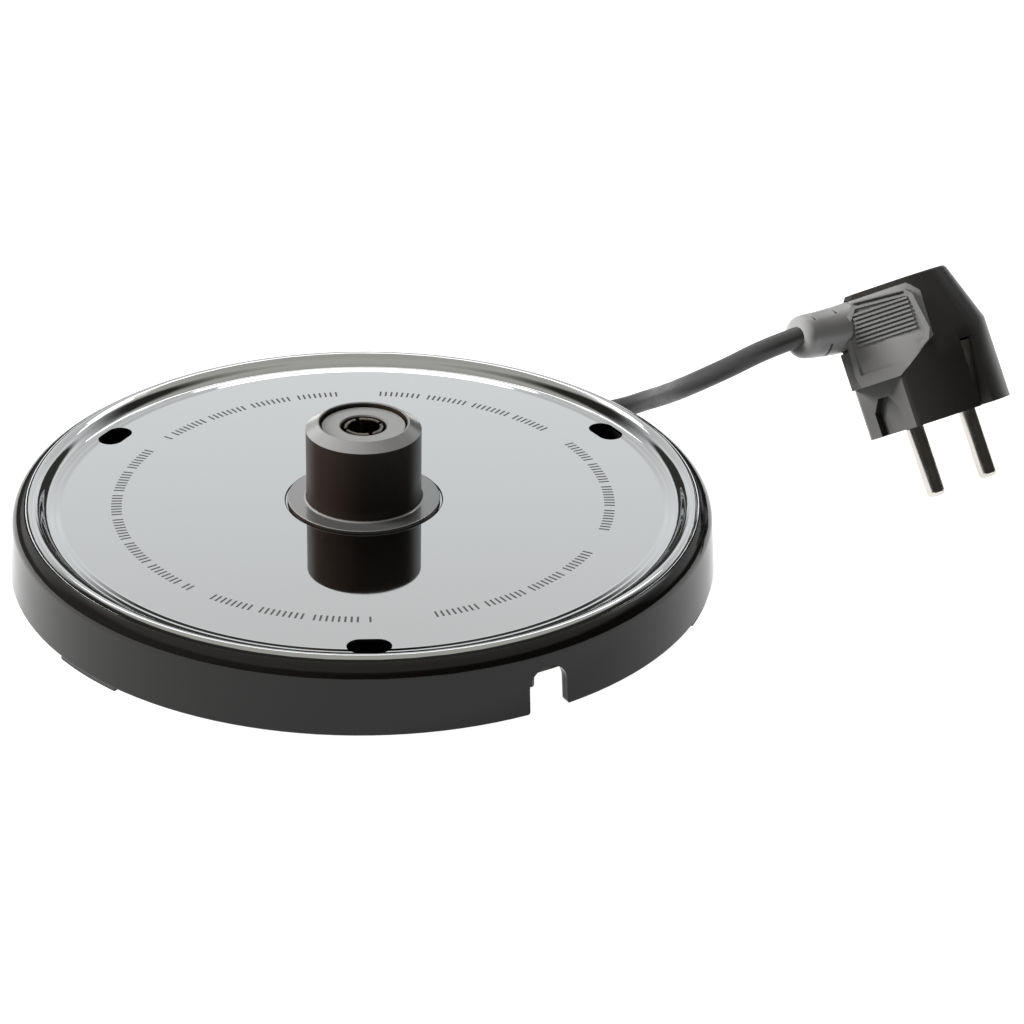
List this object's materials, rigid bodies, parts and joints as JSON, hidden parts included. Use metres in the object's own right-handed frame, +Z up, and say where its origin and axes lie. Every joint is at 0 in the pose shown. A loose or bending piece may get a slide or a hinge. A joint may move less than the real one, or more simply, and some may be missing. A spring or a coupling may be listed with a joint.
{
  "type": "kettle base",
  "caption": "Round power base for a cordless kettle: steel top plate, central round connector with spring shutter, cord store underneath, mains cord with angled plug.",
  "frame": {"origin": "centre of the base on the surface it stands on", "axes": "+Z up through the connector tower, -Y towards the front, +X to the right"},
  "size_m": [0.2538, 0.1744, 0.0555],
  "materials": {
    "plate_steel": "polished stainless steel sheet",
    "housing_gloss": "high gloss moulded plastic",
    "cover_plastic": "fine eroded moulded plastic",
    "screw_steel": "zinc plated steel",
    "foot_rubber": "matt rubber",
    "connector_plastic": "satin moulded plastic",
    "shutter_plastic": "matt moulded plastic",
    "spring_steel": "spring wire",
    "socket_metal": "nickel plated tube",
    "contact_brass": "bright brass",
    "carrier_plastic": "heat proof moulded plastic",
    "lead_brown": "wire insulation",
    "lead_blue": "wire insulation",
    "lead_green": "wire insulation, green and yellow",
    "cord_jacket": "satin flexible cord jacket",
    "plug_plastic": "fine textured moulded plastic",
    "bridge_plastic": "hard moulded plastic",
    "pin_nickel": "nickel plated brass",
    "clip_nickel": "nickel plated spring strip"
  },
  "bodies": {
    "base": {"top_plate": "plate_steel", "housing": "housing_gloss", "bottom_cover": "cover_plastic", "cover_screws": "screw_steel", "foot_rear": "foot_rubber", "foot_left": "foot_rubber", "foot_right": "foot_rubber", "connector_body": "connector_plastic", "connector_lock_ring": "cover_plastic", "shutter_spring": "spring_steel", "earth_socket": "socket_metal", "live_contact": "contact_brass", "neutral_contact": "contact_brass", "terminal_carrier": "carrier_plastic", "live_lead": "lead_brown", "neutral_lead": "lead_blue", "earth_lead": "lead_green", "bond_lead": "lead_green", "bond_tag": "contact_brass", "earth_stud": "screw_steel", "earth_nut": "contact_brass", "cord_clamp": "cover_plastic", "clamp_screws": "screw_steel", "cord_tail": "cord_jacket", "cord_coil": "cord_jacket", "mains_cord": "cord_jacket", "plug_strain_relief": "plug_plastic", "plug_body": "plug_plastic", "plug_bridge": "bridge_plastic", "pin_near": "pin_nickel", "pin_far": "pin_nickel", "plug_earth_clip_front": "clip_nickel", "plug_earth_clip_back": "clip_nickel", "plug_earth_sleeve": "contact_brass"},
    "shutter": {"shutter_disc": "shutter_plastic"}
  },
  "joints": [
    {"name": "shutter_press", "type": "slide", "parent": "base", "child": "shutter", "axis": [0, 0, -1], "range_m": [0, 0.008], "stiffness_N_per_m": 120, "springref_m": -0.004, "deforming": ["shutter_spring"]}
  ]
}
